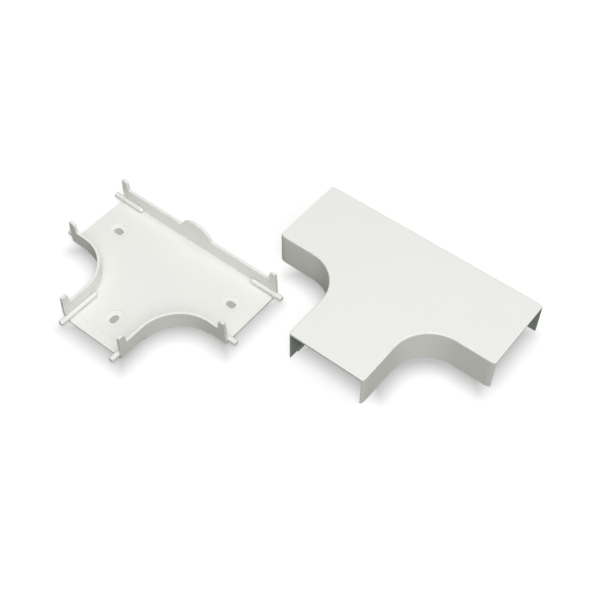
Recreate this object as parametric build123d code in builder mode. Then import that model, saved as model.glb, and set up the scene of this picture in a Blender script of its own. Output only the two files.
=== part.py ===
from build123d import *
import os

# Tee fitting for surface cable trunking, in two mouldings: an open base tray and the cover
# that clips over it. The cover is off and lies beside the tray, the same way round.
# The origin is on the tray's underside, where the middle of the run meets the middle of
# the branch. The run lies along X, the branch leaves it towards -Y, and Z is up.

os.makedirs("parts", exist_ok=True)

# Base tray: plan
tray_width = 45.0
tray_length = 119.0
branch_reach = 64.7
bend_radius = 25.4

# Base tray: section
floor_thickness = 1.4
wall_thickness = 1.8
wall_height = 11.4
rim_bevel = 0.25

# Tabs that stand up at the ends of the walls
tab_foot_length = 5.2
tab_top_length = 4.4
tab_height = 18.2
tab_lean = 0.5
run_tab_radius = 2.4
branch_tab_radius = 1.2

# Round-topped guard in the middle of the back wall
guard_length = 23.4
guard_height = 19.0
guard_foot_radius = 0.6

# Pins that line the tray up with the trunking, and the ribs that carry them
pin_radius = 1.65
pin_reach = 5.5
pin_chamfer = 0.4
pin_lift = 0.05
pin_sink = 0.35
rib_radius = 1.35
run_rib_length = 17.0
branch_rib_length = 22.5

# Screw slots, each in a shallow dish
slot_length = 6.0
slot_width = 4.2
run_slot_inset = 15.6
branch_slot_inset = 16.4
dish_margin = 3.0
dish_depth = 0.65
dish_rim = 0.4

# Shallow step across the branch's end
step_length = 6.0
step_drop = 0.35

# Undercuts along the foot of the straight arms, and the pockets at their inner ends
run_undercut_height = 1.4
run_undercut_depth = 1.1
branch_undercut_height = 3.0
branch_undercut_depth = 1.7
pocket_length = 1.6
pocket_height = 1.8
pocket_depth = 1.4

# Cover
cover_thickness = 1.3
cover_clearance = 0.7
cover_height = 22.0
run_overlap = 11.5
branch_overlap = 10.5
edge_radius = 0.8
turn_in = 0.9
turn_length = 3.6
skirt_corner_radius = 0.7

# Catch ribs inside the cover's skirts
catch_setback = 6.0
catch_length = 8.0
catch_reach = 1.0
catch_height = 2.0
catch_lead = 0.4

# Where the cover lies beside the tray
cover_shift_x = 115.6
cover_shift_y = 68.1

# Sizes that follow from those above
half_width = tray_width / 2
half_run = tray_length / 2
bend_start = half_width + bend_radius
pin_offset = half_width - wall_thickness - pin_radius + pin_sink
pin_height = floor_thickness + pin_radius + pin_lift
cover_inner = half_width + cover_clearance
cover_outer = cover_inner + cover_thickness
cover_run = half_run + run_overlap
cover_branch = branch_reach + branch_overlap
overrun = 1.0
up = Vector(0, 0, 1)


def tee_sketch(side, run_end, branch_end, corner_radius):
    """Tee with hollow round inner corners; side is the half width of the run and the branch."""
    corner = side + corner_radius
    with BuildSketch() as tee:
        with BuildLine():
            Polyline((0, side), (run_end, side), (run_end, -side), (corner, -side))
            CenterArc((corner, -corner), corner_radius, 90, 90)
            Polyline((side, -corner), (side, -branch_end), (0, -branch_end))
            mirror(about=Plane.YZ)
        make_face()
    return tee.sketch


def turned_in_sketch(side, corner_radius):
    """The cover's outer plan: a tee whose sides curve inwards just before its three ends."""
    corner = side + corner_radius
    mouth = side - turn_in
    run_turn = cover_run - turn_length
    branch_turn = cover_branch - turn_length
    with BuildSketch() as tee:
        with BuildLine():
            Line((0, side), (run_turn, side))
            TangentArc((run_turn, side), (cover_run, mouth), tangent=(1, 0))
            Line((cover_run, mouth), (cover_run, -mouth))
            TangentArc((run_turn, -side), (cover_run, -mouth), tangent=(1, 0))
            Line((run_turn, -side), (corner, -side))
            CenterArc((corner, -corner), corner_radius, 90, 90)
            Line((side, -corner), (side, -branch_turn))
            TangentArc((side, -branch_turn), (mouth, -cover_branch), tangent=(0, -1))
            Line((mouth, -cover_branch), (0, -cover_branch))
            mirror(about=Plane.YZ)
        make_face()
    return tee.sketch


def wall_ends(side, run_end, branch_end):
    """The six places where a side wall ends: corner, outward and inward direction, on the run or not."""
    ends = []
    for hand in (-1, 1):
        for face in (-1, 1):
            ends.append((Vector(hand * run_end, face * side), Vector(hand, 0), Vector(0, -face), True))
        ends.append((Vector(hand * side, -branch_end), Vector(0, -1), Vector(-hand, 0), False))
    return ends


outer_plan = tee_sketch(half_width, half_run, branch_reach, bend_radius)
inner_plan = tee_sketch(
    half_width - wall_thickness, half_run + overrun, branch_reach + overrun, bend_radius + wall_thickness
)

# Tabs over the ends of the walls, cut to the line of the walls
with BuildPart() as tabs:
    for corner, outward, inward, on_run in wall_ends(half_width, half_run, branch_reach):
        with BuildSketch(Plane(origin=corner, x_dir=-outward, z_dir=up.cross(outward))):
            with BuildLine():
                Polyline(
                    (0, floor_thickness),
                    (0, tab_height),
                    (tab_top_length, tab_height),
                    (tab_foot_length, wall_height),
                    (tab_foot_length, floor_thickness),
                    close=True,
                )
            tab_face = make_face()
            inner_top = tab_face.vertices().group_by(Axis.Y)[-1].sort_by(Axis.X)[-1]
            fillet(inner_top, radius=run_tab_radius if on_run else branch_tab_radius)
        extrude(amount=half_width / 2, both=True)
    with BuildSketch(Plane.XY):
        add(outer_plan)
        add(inner_plan, mode=Mode.SUBTRACT)
    extrude(amount=tab_height, mode=Mode.INTERSECT)

# Base tray
with BuildPart() as tray:
    # Floor, back wall and the two curved corner walls, open at the three ends
    with BuildSketch(Plane.XY):
        add(outer_plan)
    extrude(amount=wall_height)
    with BuildSketch(Plane.XY.offset(floor_thickness)):
        add(inner_plan)
    extrude(amount=wall_height, mode=Mode.SUBTRACT)

    # Guard on the back wall, running into the wall's top with small radii
    half_guard = guard_length / 2
    half_strip = half_guard + guard_foot_radius
    with BuildSketch(Plane.XZ.offset(-half_width)):
        with BuildLine():
            ThreePointArc((-half_guard, wall_height), (0, guard_height), (half_guard, wall_height))
            Polyline(
                (half_guard, wall_height),
                (half_strip, wall_height),
                (half_strip, floor_thickness),
                (-half_strip, floor_thickness),
                (-half_strip, wall_height),
                (-half_guard, wall_height),
            )
        guard_face = make_face()
        guard_corners = guard_face.vertices().filter_by_position(Axis.X, -half_guard, half_guard)
        fillet(guard_corners, radius=guard_foot_radius)
    extrude(amount=wall_thickness)

    # Tabs on the wall ends
    add(tabs.part)

    # Bevel along the upper edges of walls, tabs and guard
    upper_edges = tray.edges().filter_by(lambda edge: edge.center().Z > wall_height - rim_bevel)
    chamfer(upper_edges, length=rim_bevel)

    left_ends = [end for end in wall_ends(half_width, half_run, branch_reach) if end[0].X < 0]
    for corner, outward, inward, on_run in left_ends:
        # Pin with its thinner rib, turned about the pin's own axis
        rib_length = run_rib_length if on_run else branch_rib_length
        root = corner + inward * (half_width - pin_offset) + up * pin_height
        with BuildSketch(Plane(origin=root, x_dir=outward, z_dir=up)):
            with BuildLine():
                CenterArc((rib_radius - rib_length, 0), rib_radius, 90, 90)
                Polyline(
                    (rib_radius - rib_length, rib_radius),
                    (0, rib_radius),
                    (0, pin_radius),
                    (pin_reach - pin_chamfer, pin_radius),
                    (pin_reach, pin_radius - pin_chamfer),
                    (pin_reach, 0),
                    (-rib_length, 0),
                )
            make_face()
        revolve(axis=Axis(root, outward))

        # Web that fills the corner behind the rib
        with BuildSketch(Plane(origin=corner, x_dir=inward, z_dir=inward.cross(up))):
            with Locations((wall_thickness, floor_thickness)):
                web_width = half_width - wall_thickness - pin_offset
                Rectangle(web_width, pin_height - floor_thickness, align=(Align.MIN, Align.MIN))
        extrude(amount=-(rib_length - rib_radius) * inward.cross(up).dot(outward))

    # Right half, mirrored from the left one with its pins and ribs
    split(bisect_by=Plane.YZ, keep=Keep.BOTTOM)
    mirror(about=Plane.YZ)

    # Screw slots and their dishes
    slot_places = [
        Location((run_slot_inset - half_run, 0, 0)),
        Location((half_run - run_slot_inset, 0, 0)),
        Location((0, branch_slot_inset - branch_reach, 0), (0, 0, 90)),
    ]
    for place in slot_places:
        with BuildSketch(Plane(place)):
            SlotOverall(slot_length, slot_width)
        extrude(amount=floor_thickness, mode=Mode.SUBTRACT)
        with BuildSketch(Plane(place).offset(floor_thickness)):
            SlotOverall(slot_length + 2 * dish_margin, slot_width + 2 * dish_margin)
        extrude(amount=-dish_rim, mode=Mode.SUBTRACT)
        with BuildSketch(Plane(place).offset(floor_thickness - dish_depth)):
            SlotOverall(slot_length, slot_width)
        with BuildSketch(Plane(place).offset(floor_thickness - dish_rim)):
            SlotOverall(slot_length + 2 * dish_margin, slot_width + 2 * dish_margin)
        loft(mode=Mode.SUBTRACT)

    # Step across the branch's end, between the two ribs
    with BuildSketch(Plane.XY.offset(floor_thickness)):
        with Locations((0, -branch_reach)):
            Rectangle(2 * (pin_offset - pin_radius), 2 * step_length)
    extrude(amount=-step_drop, mode=Mode.SUBTRACT)

    for corner, outward, inward, on_run in wall_ends(half_width, half_run, branch_reach):
        # Lean of the tab's end, away from the neighbouring trunking
        with BuildSketch(Plane(origin=corner, x_dir=-outward, z_dir=up.cross(outward))):
            Polygon((0, wall_height), (tab_lean, tab_height), (0, tab_height), align=None)
        extrude(amount=2 * wall_thickness, both=True, mode=Mode.SUBTRACT)

        # Undercut along the foot of the arm's side, as far as the bend
        undercut_height = run_undercut_height if on_run else branch_undercut_height
        undercut_depth = run_undercut_depth if on_run else branch_undercut_depth
        undercut_length = (half_run if on_run else branch_reach) - bend_start
        with BuildSketch(Plane(origin=corner, x_dir=inward, z_dir=inward.cross(up))):
            Polygon((0, 0), (undercut_depth, 0), (0, undercut_height), align=None)
        extrude(amount=-undercut_length * inward.cross(up).dot(outward), mode=Mode.SUBTRACT)

    # Pockets where the undercuts end
    with BuildSketch(Plane.XY):
        with GridLocations(2 * bend_start, tray_width, 2, 2):
            Rectangle(pocket_length, 2 * pocket_depth)
        with Locations((-half_width, -bend_start), (half_width, -bend_start)):
            Rectangle(2 * pocket_depth, pocket_length)
    extrude(amount=pocket_height, mode=Mode.SUBTRACT)

tray.part.label = "tee_base"
export_step(tray.part, "parts/tee_base.step")

# Cover
cover_place = Plane((cover_shift_x, cover_shift_y, 0))
cover_plan = turned_in_sketch(cover_outer, bend_radius + half_width - cover_outer)
hollow_plan = tee_sketch(
    cover_inner, cover_run + overrun, cover_branch + overrun, bend_radius + half_width - cover_inner
)

with BuildPart() as cover:
    # Outer form, rounded along the top of its sides and cut square at its ends
    with BuildSketch(cover_place):
        add(cover_plan)
    extrude(amount=cover_height)
    rim = cover.faces().sort_by(Axis.Z)[-1].edges()
    end_rims = rim.group_by(Axis.X)[0] + rim.group_by(Axis.X)[-1] + rim.group_by(Axis.Y)[0]
    fillet(rim - end_rims, radius=edge_radius)

    # Hollow, open below and at the three ends
    with BuildSketch(cover_place):
        add(hollow_plan)
    extrude(amount=cover_height - cover_thickness, mode=Mode.SUBTRACT)

    # Rounded lower corners of the skirts
    foot = cover.edges().group_by(Axis.Z)[0]
    end_feet = foot.group_by(Axis.X)[0] + foot.group_by(Axis.X)[-1] + foot.group_by(Axis.Y)[0]
    fillet(end_feet, radius=skirt_corner_radius)

    # Catch ribs, which reach into the tray's undercuts when the cover is on
    for corner, outward, inward, on_run in wall_ends(cover_inner, cover_run, cover_branch):
        rib_normal = inward.cross(up)
        rib_start = cover_place.origin + corner - outward * catch_setback
        with BuildSketch(Plane(origin=rib_start, x_dir=inward, z_dir=rib_normal)):
            with BuildLine():
                Polyline(
                    (-cover_thickness / 2, 0),
                    (catch_reach - catch_lead, 0),
                    (catch_reach, catch_lead),
                    (catch_reach, 2 * catch_lead),
                    (0, catch_height),
                    (-cover_thickness / 2, catch_height),
                    close=True,
                )
            make_face()
        extrude(amount=-catch_length * rib_normal.dot(outward))

cover.part.label = "tee_cover"
export_step(cover.part, "parts/tee_cover.step")
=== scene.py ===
import bmesh
import bpy
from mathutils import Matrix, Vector

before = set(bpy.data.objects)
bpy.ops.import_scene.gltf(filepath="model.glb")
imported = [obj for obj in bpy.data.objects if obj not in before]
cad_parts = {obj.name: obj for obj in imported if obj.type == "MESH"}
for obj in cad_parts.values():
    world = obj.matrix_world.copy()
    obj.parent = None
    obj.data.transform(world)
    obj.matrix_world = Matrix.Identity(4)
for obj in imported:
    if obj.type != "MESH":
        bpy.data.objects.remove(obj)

bl_info = {
    "name": "Trunking Tee Finish",
    "version": (1, 0, 0),
    "blender": (4, 5, 0),
    "location": "3D View > Sidebar > Trunking Tee",
    "description": "Gives a trunking tee's tray and cover their moulded plastic, floor and light",
    "category": "Object",
}

TRAY = "tee_base"
COVER = "tee_cover"

PICTURE_SIDE = 590
SENSOR_WIDTH = 36.0
MM = 0.001
UP = (0.0, 0.0, 1.0)
WHITE = (1.0, 1.0, 1.0, 1.0)

# Colour sockets of a Mix node and the surfaces of a Mix Shader node, which share their names
COLOUR_A = 6
COLOUR_B = 7
COLOUR_RESULT = 2
SHADER_IF_0 = 1
SHADER_IF_1 = 2

# Noise textures: octaves of the grain and of the cloudiness, and the middle of their range
GRAIN_DETAIL = 2.0
CLOUD_DETAIL = 3.0
NOISE_MIDDLE = 0.5

# Outlines on the floor: half width, half run, reach of the branch, radius of the inner corners
TRAY_PLAN = (22.5 * MM, 59.5 * MM, 64.7 * MM, 25.4 * MM)
COVER_PLAN = (24.5 * MM, 71.0 * MM, 75.2 * MM, 23.4 * MM)

# The cover's hollow, the height of its ceiling, and where the cover's own origin lies
COVER_HOLLOW = (23.2 * MM, 72.0 * MM, 76.2 * MM, 24.7 * MM)
COVER_CEILING = 20.7 * MM
COVER_PLACE = (115.6 * MM, 68.1 * MM)

# Depth in the plastic over which the painted shade inside the cover ends, less than a wall's thickness
FACE_BLEND = 0.2 * MM

# How far below the pieces' undersides the floor lies, so that no two faces share a plane
FLOOR_GAP = 0.05 * MM

# How far inside the cover's mouths its painted contact shade ends, along the run and along the branch
MOUTH_DEPTHS = (7.5 * MM, 15.5 * MM)


class Value:
    """A socket that carries a number, with arithmetic that adds Math nodes."""

    def __init__(self, shader, socket):
        self.shader = shader
        self.socket = socket

    def combine(self, operation, first, second):
        return self.shader.node("ShaderNodeMath", {"operation": operation}, {0: first, 1: second}).value()

    def __add__(self, other):
        return self.combine("ADD", self, other)

    __radd__ = __add__

    def __sub__(self, other):
        return self.combine("SUBTRACT", self, other)

    def __rsub__(self, other):
        return self.combine("SUBTRACT", other, self)

    def __mul__(self, other):
        return self.combine("MULTIPLY", self, other)

    __rmul__ = __mul__

    def __truediv__(self, other):
        return self.combine("DIVIDE", self, other)

    def __abs__(self):
        return self.combine("ABSOLUTE", self, 0.0)

    def least(self, other):
        return self.combine("MINIMUM", self, other)

    def most(self, other):
        return self.combine("MAXIMUM", self, other)

    def root(self):
        return self.combine("SQRT", self, 0.0)


class NodeHandle:
    """A node of a material and the ways to reach its outputs."""

    def __init__(self, shader, node):
        self.shader = shader
        self.node = node

    def out(self, name=0):
        return self.node.outputs[name]

    def value(self, name=0):
        return Value(self.shader, self.node.outputs[name])


class Shader:
    """The node tree of a material or a world, built one node at a time."""

    def __init__(self, owner):
        self.owner = owner
        owner.use_nodes = True
        self.tree = owner.node_tree
        self.tree.nodes.clear()

    def node(self, kind, settings=None, inputs=None):
        node = self.tree.nodes.new(kind)
        for name, setting in (settings or {}).items():
            setattr(node, name, setting)
        for name, given in (inputs or {}).items():
            source = given.socket if isinstance(given, Value) else given
            if isinstance(source, bpy.types.NodeSocket):
                self.tree.links.new(source, node.inputs[name])
            else:
                node.inputs[name].default_value = source
        return NodeHandle(self, node)

    def finish(self, surface, output="ShaderNodeOutputMaterial"):
        self.node(output, None, {"Surface": surface})
        return self.owner


def opaque(colour):
    """A colour with full alpha."""
    return (*colour, 1.0)


def grey(shader, value):
    """A grey as pale as a value says."""
    channels = {"Red": value, "Green": value, "Blue": value}
    return shader.node("ShaderNodeCombineColor", None, channels).out()


def tinted(shader, tone, factor, tint):
    """A tone multiplied by a tint, as far as a factor says."""
    return shader.node(
        "ShaderNodeMix",
        {"data_type": "RGBA", "blend_type": "MULTIPLY"},
        {"Factor": factor, COLOUR_A: tone, COLOUR_B: opaque(tint)},
    ).out(COLOUR_RESULT)


def length(x, y):
    """Length of the vector that two values make."""
    return (x * x + y * y).root()


def tee_distance(x, y, tee):
    """Distance on the floor from a tee's outline, below zero inside it; x and y from its origin."""
    half_width, half_run, branch_reach, bend_radius = tee
    across = abs(x) - half_run
    along = abs(y) - half_width
    run = length(across.most(0.0), along.most(0.0)) + across.most(along).least(0.0)
    across = abs(x) - half_width
    along = abs(y + branch_reach / 2) - branch_reach / 2
    branch = length(across.most(0.0), along.most(0.0)) + across.most(along).least(0.0)
    hollow = length((bend_radius - run).most(0.0), (bend_radius - branch).most(0.0))
    return run.least(branch).most(bend_radius) - hollow


def cover_inside_shade_mask(shader, place):
    """One on the faces inside the cover, which get painted shade, zero on all the others."""
    split = shader.node("ShaderNodeSeparateXYZ", None, {"Vector": place})
    x = split.value("X") - COVER_PLACE[0]
    y = split.value("Y") - COVER_PLACE[1]
    depth = (COVER_CEILING - split.value("Z")).least(0.0 - tee_distance(x, y, COVER_HOLLOW))
    return (depth / FACE_BLEND + 1.0).most(0.0).least(1.0)


def moulded_plastic(name, settings, colour, inside=None):
    """Satin moulded plastic with a fine spark-eroded grain and faint cloudiness, and painted shade on the
    faces an inside mask picks out.
    """
    shader = Shader(bpy.data.materials.new(name))
    place = shader.node("ShaderNodeTexCoord").out("Object")
    grain = shader.node(
        "ShaderNodeTexNoise",
        None,
        {"Vector": place, "Scale": 1 / settings.grain_size, "Detail": GRAIN_DETAIL},
    ).value("Fac")
    cloud = shader.node(
        "ShaderNodeTexNoise",
        None,
        {"Vector": place, "Scale": 1 / settings.cloud_size, "Detail": CLOUD_DETAIL},
    ).value("Fac")
    bump = shader.node(
        "ShaderNodeBump",
        None,
        {"Height": grain, "Distance": settings.grain_depth, "Strength": 1.0},
    )
    darker = [channel * (1 - settings.cloud_contrast) for channel in colour]
    tone = shader.node(
        "ShaderNodeMix",
        {"data_type": "RGBA"},
        {"Factor": cloud, COLOUR_A: opaque(colour), COLOUR_B: opaque(darker)},
    ).out(COLOUR_RESULT)
    # Painted shade: the faces inside the cover are darkened in colour, standing in for the shade in its
    # mouths
    if inside:
        tone = tinted(shader, tone, inside(shader, place), settings.painted_inside_shade)
    surface = shader.node(
        "ShaderNodeBsdfPrincipled",
        None,
        {
            "Base Color": tone,
            "Roughness": settings.roughness + (cloud - NOISE_MIDDLE) * settings.roughness_spread,
            "Normal": bump.out(),
            "IOR": settings.ior,
        },
    )
    return shader.finish(surface.out())


def painted_contact_shade(near, settings):
    """How dark the floor is painted at a distance from an outline: full under it, then fading out."""
    fade = ((near + settings.shade_inside) / settings.shade_width).most(0.0).least(1.0)
    return settings.shade_depth * (1.0 - fade) * (1.0 - fade * fade)


def studio_floor(settings):
    """Matt floor that a camera sees as paper white, with the pieces' real shadow, a soft painted contact
    shade and painted shade far under the tray.
    """
    shader = Shader(bpy.data.materials.new("studio_floor"))
    place = shader.node("ShaderNodeTexCoord").out("Object")
    split = shader.node("ShaderNodeSeparateXYZ", None, {"Vector": place})
    x = split.value("X") - settings.shade_shift[0]
    y = split.value("Y") - settings.shade_shift[1]
    tray_distance = tee_distance(x, y, TRAY_PLAN) + settings.tray_shade_inset
    # Painted shade: the floor far under the tray, seen through its screw slots, is darkened in colour
    under_shade_mask = (0.0 - tray_distance / settings.shade_inside - 1.0).most(0.0).least(1.0)
    # Painted contact shade around the tray and along the cover's walls, multiplied into the floor's colour
    # and its lift
    tray_shade = painted_contact_shade(tray_distance, settings)
    half_width, half_run, branch_reach, bend_radius = COVER_PLAN
    walls_plan = (half_width, half_run - MOUTH_DEPTHS[0], branch_reach - MOUTH_DEPTHS[1], bend_radius)
    cover_distance = tee_distance(x - COVER_PLACE[0], y - COVER_PLACE[1], walls_plan)
    fade = 1.0 - tray_shade.most(painted_contact_shade(cover_distance, settings))
    far = (length(x, y) / settings.clear_radius - 1.0).most(0.0).least(1.0)
    added = fade * settings.floor_lift + far * (1.0 - settings.floor_lift)
    matt = tinted(shader, grey(shader, fade * settings.floor_tone), under_shade_mask, settings.painted_under_shade)
    lift = tinted(shader, grey(shader, added), under_shade_mask, settings.painted_under_shade)
    seen = shader.node(
        "ShaderNodeBsdfPrincipled",
        None,
        {
            "Base Color": matt,
            "Roughness": 1.0,
            "Specular IOR Level": 0.0,
            "Emission Color": lift,
            "Emission Strength": 1.0,
        },
    )
    felt = shader.node(
        "ShaderNodeBsdfPrincipled",
        None,
        {
            "Base Color": opaque(settings.floor_bounce),
            "Roughness": 1.0,
            "Specular IOR Level": 0.0,
        },
    )
    by_camera = shader.node("ShaderNodeLightPath").value("Is Camera Ray")
    both = shader.node(
        "ShaderNodeMixShader",
        None,
        {"Fac": by_camera, SHADER_IF_0: felt.out(), SHADER_IF_1: seen.out()},
    )
    return shader.finish(both.out())


def room_light(settings):
    """Even light from all round, which a camera sees as a white backdrop."""
    shader = Shader(bpy.data.worlds.new("studio"))
    by_camera = shader.node("ShaderNodeLightPath").value("Is Camera Ray")
    strength = settings.sky_strength + by_camera * (1.0 - settings.sky_strength)
    background = shader.node("ShaderNodeBackground", None, {"Color": WHITE, "Strength": strength})
    return shader.finish(background.out(), "ShaderNodeOutputWorld")


class PlasticSettings(bpy.types.PropertyGroup):
    tray_colour: bpy.props.FloatVectorProperty(
        name="Tray colour",
        description="Plastic of the base tray",
        subtype="COLOR",
        size=3,
        min=0.0,
        max=1.0,
        default=(0.868, 0.875, 0.833),
    )
    cover_colour: bpy.props.FloatVectorProperty(
        name="Cover colour",
        description="Plastic of the cover",
        subtype="COLOR",
        size=3,
        min=0.0,
        max=1.0,
        default=(0.862, 0.868, 0.833),
    )
    # Painted shade: the cover's colour inside it is multiplied by this, darkening its mouths
    painted_inside_shade: bpy.props.FloatVectorProperty(
        name="Inside tone",
        description="What the cover's colour is multiplied by inside it, to match the photographed mouths",
        subtype="COLOR",
        size=3,
        min=0.0,
        max=1.0,
        default=(0.50, 0.54, 0.53),
    )
    roughness: bpy.props.FloatProperty(
        name="Roughness",
        description="How matt the plastic is",
        default=0.42,
        min=0.0,
        max=1.0,
        subtype="FACTOR",
    )
    roughness_spread: bpy.props.FloatProperty(
        name="Roughness spread",
        description="How far the roughness changes over the surface",
        default=0.12,
        min=0.0,
        max=0.5,
        subtype="FACTOR",
    )
    ior: bpy.props.FloatProperty(
        name="Refractive index",
        description="Strength of the surface's gloss",
        default=1.45,
        min=1.0,
        max=2.0,
    )
    grain_size: bpy.props.FloatProperty(
        name="Grain size",
        description="Size of the mould's fine texture",
        default=0.5 * MM,
        min=0.0001,
        unit="LENGTH",
        precision=5,
    )
    grain_depth: bpy.props.FloatProperty(
        name="Grain depth",
        description="Depth of the mould's fine texture",
        default=0.01 * MM,
        min=0.0,
        unit="LENGTH",
        precision=6,
    )
    cloud_size: bpy.props.FloatProperty(
        name="Cloud size",
        description="Size of the faint lighter and darker patches in the plastic",
        default=25 * MM,
        min=0.001,
        unit="LENGTH",
    )
    cloud_contrast: bpy.props.FloatProperty(
        name="Cloud contrast",
        description="How much darker the plastic is in its darker patches",
        default=0.03,
        min=0.0,
        max=1.0,
        subtype="FACTOR",
    )


class StageSettings(bpy.types.PropertyGroup):
    camera_place: bpy.props.FloatVectorProperty(
        name="Camera place",
        description="Where the camera stands",
        subtype="TRANSLATION",
        unit="LENGTH",
        size=3,
        default=(0.2952, -0.2565, 0.4644),
    )
    camera_target: bpy.props.FloatVectorProperty(
        name="Camera target",
        description="The point on the floor in the middle of the picture",
        subtype="TRANSLATION",
        unit="LENGTH",
        size=3,
        default=(0.06734, 0.02828, 0.0),
    )
    focal_pixels: bpy.props.FloatProperty(
        name="Focal length in pixels",
        description="Focal length, in pixels of the square picture",
        default=1042.0,
        min=100.0,
    )
    floor_size: bpy.props.FloatProperty(
        name="Floor size",
        description="Side of the square floor",
        default=6.0,
        min=0.5,
        unit="LENGTH",
    )
    floor_tone: bpy.props.FloatProperty(
        name="Floor tone",
        description="How pale the floor's lit surface is to the camera",
        default=0.36,
        min=0.0,
        max=1.0,
        subtype="FACTOR",
    )
    floor_lift: bpy.props.FloatProperty(
        name="Floor lift",
        description="What the camera sees added to the floor, to make it paper white",
        default=0.70,
        min=0.0,
        max=1.0,
        subtype="FACTOR",
    )
    clear_radius: bpy.props.FloatProperty(
        name="Clear radius",
        description="Distance from the tray beyond which the floor, less lit there, is lifted more",
        default=0.3,
        min=0.01,
        unit="LENGTH",
    )
    floor_bounce: bpy.props.FloatVectorProperty(
        name="Floor bounce",
        description="Colour of the floor as the pieces see it: how much light it throws back at them",
        subtype="COLOR",
        size=3,
        min=0.0,
        max=1.0,
        default=(0.18, 0.20, 0.155),
    )
    # The contact shade set here is painted into the floor's colour and lift, not cast by the lamps
    shade_shift: bpy.props.FloatVectorProperty(
        name="Shade shift",
        description="How far the contact shade is moved out from under the pieces",
        subtype="TRANSLATION",
        unit="LENGTH",
        size=2,
        default=(4.4 * MM, -5.5 * MM),
    )
    shade_inside: bpy.props.FloatProperty(
        name="Shade inside",
        description="How far inside the outline the contact shade starts to fade",
        default=5.0 * MM,
        unit="LENGTH",
        precision=4,
    )
    shade_width: bpy.props.FloatProperty(
        name="Shade width",
        description="Width over which the contact shade fades",
        default=16.0 * MM,
        min=0.0001,
        unit="LENGTH",
        precision=4,
    )
    tray_shade_inset: bpy.props.FloatProperty(
        name="Tray shade inset",
        description="How much closer to the low tray its contact shade stays",
        default=1.2 * MM,
        unit="LENGTH",
        precision=4,
    )
    shade_depth: bpy.props.FloatProperty(
        name="Shade depth",
        description="How dark the contact shade is",
        default=0.50,
        min=0.0,
        max=1.0,
        subtype="FACTOR",
    )
    # Painted shade: the floor's colour far under the tray is multiplied by this, so its screw slots look
    # darker
    painted_under_shade: bpy.props.FloatVectorProperty(
        name="Tone under the tray",
        description="What the floor's colour is multiplied by far under the tray, in its screw slots",
        subtype="COLOR",
        size=3,
        min=0.0,
        max=1.0,
        default=(0.865, 0.88, 0.835),
    )
    top_power: bpy.props.FloatProperty(
        name="Top panel power",
        description="Power of the panel overhead, in watts",
        default=9.6,
        min=0.0,
    )
    top_size: bpy.props.FloatProperty(
        name="Top panel size",
        description="Side of the panel overhead",
        default=1.2,
        min=0.05,
        unit="LENGTH",
    )
    top_distance: bpy.props.FloatProperty(
        name="Top panel distance",
        description="Height of the panel overhead",
        default=1.5,
        min=0.2,
        unit="LENGTH",
    )
    side_power: bpy.props.FloatProperty(
        name="Side panel power",
        description="Power of the panel on the right, in watts",
        default=18.0,
        min=0.0,
    )
    side_size: bpy.props.FloatProperty(
        name="Side panel size",
        description="Side of the panel on the right",
        default=1.6,
        min=0.05,
        unit="LENGTH",
    )
    side_distance: bpy.props.FloatProperty(
        name="Side panel distance",
        description="Distance of the panel on the right",
        default=1.8,
        min=0.2,
        unit="LENGTH",
    )
    side_direction: bpy.props.FloatVectorProperty(
        name="Side panel direction",
        description="Where the panel on the right stands, seen from the middle of the picture",
        subtype="DIRECTION",
        size=3,
        default=(0.55, -0.36, 0.757),
    )
    sky_strength: bpy.props.FloatProperty(
        name="Room light",
        description="Even light from all round",
        default=0.29,
        min=0.0,
    )


def hang_panel(context, name, target, way, distance, size, power):
    """Hangs a soft square panel in the given direction from the target, and turns it to face it."""
    lamp_data = bpy.data.lights.new(name, "AREA")
    lamp_data.shape = "SQUARE"
    lamp_data.size = size
    lamp_data.energy = power
    lamp = bpy.data.objects.new(name, lamp_data)
    direction = Vector(way).normalized()
    lamp.location = target + direction * distance
    lamp.rotation_euler = (-direction).to_track_quat("-Z", "Y").to_euler()
    context.scene.collection.objects.link(lamp)


def dress(node_name, material):
    """Gives a moulding its plastic."""
    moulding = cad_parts[node_name]
    moulding.data.materials.clear()
    moulding.data.materials.append(material)


class TEE_OT_dress_tray(bpy.types.Operator):
    """Give the base tray its moulded plastic"""

    bl_idname = "tee.dress_tray"
    bl_label = "Dress the tray"

    def execute(self, context):
        settings = context.scene.tee_plastic
        dress(TRAY, moulded_plastic("tray_plastic", settings, settings.tray_colour))
        return {"FINISHED"}


class TEE_OT_dress_cover(bpy.types.Operator):
    """Give the cover its moulded plastic, with painted shade on its inside faces"""

    bl_idname = "tee.dress_cover"
    bl_label = "Dress the cover"

    def execute(self, context):
        settings = context.scene.tee_plastic
        dress(COVER, moulded_plastic("cover_plastic", settings, settings.cover_colour, cover_inside_shade_mask))
        return {"FINISHED"}


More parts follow.
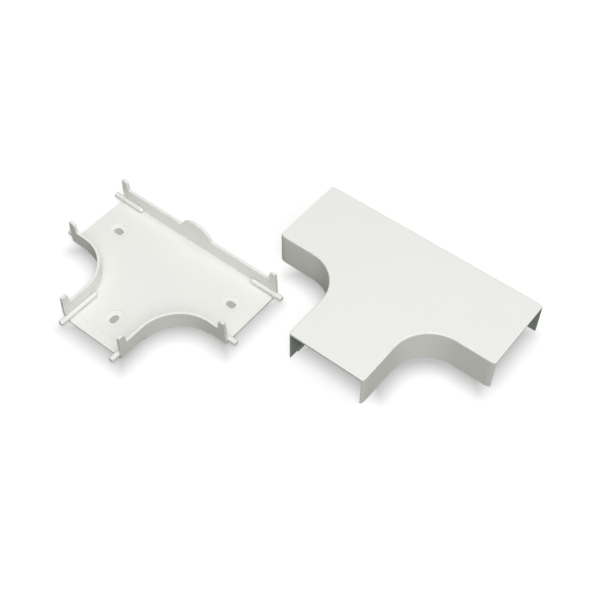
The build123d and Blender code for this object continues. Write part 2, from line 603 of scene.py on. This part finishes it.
class TEE_OT_set_stage(bpy.types.Operator):
    """Lay the floor, hang the two panels and set up the camera"""

    bl_idname = "tee.set_stage"
    bl_label = "Set the stage"

    def execute(self, context):
        settings = context.scene.tee_stage
        target = Vector(settings.camera_target)

        floor_mesh = bpy.data.meshes.new("studio_floor")
        shape = bmesh.new()
        bmesh.ops.create_grid(shape, x_segments=1, y_segments=1, size=settings.floor_size / 2)
        bmesh.ops.translate(shape, verts=shape.verts, vec=target - Vector(UP) * FLOOR_GAP)
        shape.to_mesh(floor_mesh)
        shape.free()
        floor_mesh.materials.append(studio_floor(settings))
        floor = bpy.data.objects.new("studio_floor", floor_mesh)
        context.scene.collection.objects.link(floor)

        camera_place = Vector(settings.camera_place)
        camera_data = bpy.data.cameras.new("camera")
        camera_data.sensor_width = SENSOR_WIDTH
        camera_data.lens = settings.focal_pixels * SENSOR_WIDTH / PICTURE_SIDE
        camera = bpy.data.objects.new("camera", camera_data)
        camera.location = camera_place
        camera.rotation_euler = (target - camera_place).to_track_quat("-Z", "Y").to_euler()
        context.scene.collection.objects.link(camera)
        context.scene.camera = camera

        hang_panel(
            context,
            "top_panel",
            target,
            UP,
            settings.top_distance,
            settings.top_size,
            settings.top_power,
        )
        hang_panel(
            context,
            "side_panel",
            target,
            settings.side_direction,
            settings.side_distance,
            settings.side_size,
            settings.side_power,
        )

        context.scene.world = room_light(settings)
        context.scene.view_settings.view_transform = "Standard"
        return {"FINISHED"}


class TEE_PT_panel(bpy.types.Panel):
    bl_label = "Trunking Tee"
    bl_idname = "TEE_PT_panel"
    bl_space_type = "VIEW_3D"
    bl_region_type = "UI"
    bl_category = "Trunking Tee"

    def draw(self, context):
        layout = self.layout
        for group in (context.scene.tee_plastic, context.scene.tee_stage):
            box = layout.box()
            for name in group.bl_rna.properties.keys():
                if name not in ("rna_type", "name"):
                    box.prop(group, name)
        for operator in (TEE_OT_dress_tray, TEE_OT_dress_cover, TEE_OT_set_stage):
            layout.operator(operator.bl_idname)


CLASSES = (
    PlasticSettings,
    StageSettings,
    TEE_OT_dress_tray,
    TEE_OT_dress_cover,
    TEE_OT_set_stage,
    TEE_PT_panel,
)


def register():
    for cls in CLASSES:
        bpy.utils.register_class(cls)
    bpy.types.Scene.tee_plastic = bpy.props.PointerProperty(type=PlasticSettings)
    bpy.types.Scene.tee_stage = bpy.props.PointerProperty(type=StageSettings)


def unregister():
    del bpy.types.Scene.tee_stage
    del bpy.types.Scene.tee_plastic
    for cls in reversed(CLASSES):
        bpy.utils.unregister_class(cls)


def main():
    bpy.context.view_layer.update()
    register()
    bpy.ops.tee.dress_tray()
    bpy.ops.tee.dress_cover()
    bpy.ops.tee.set_stage()


if __name__ == "__main__":
    main()
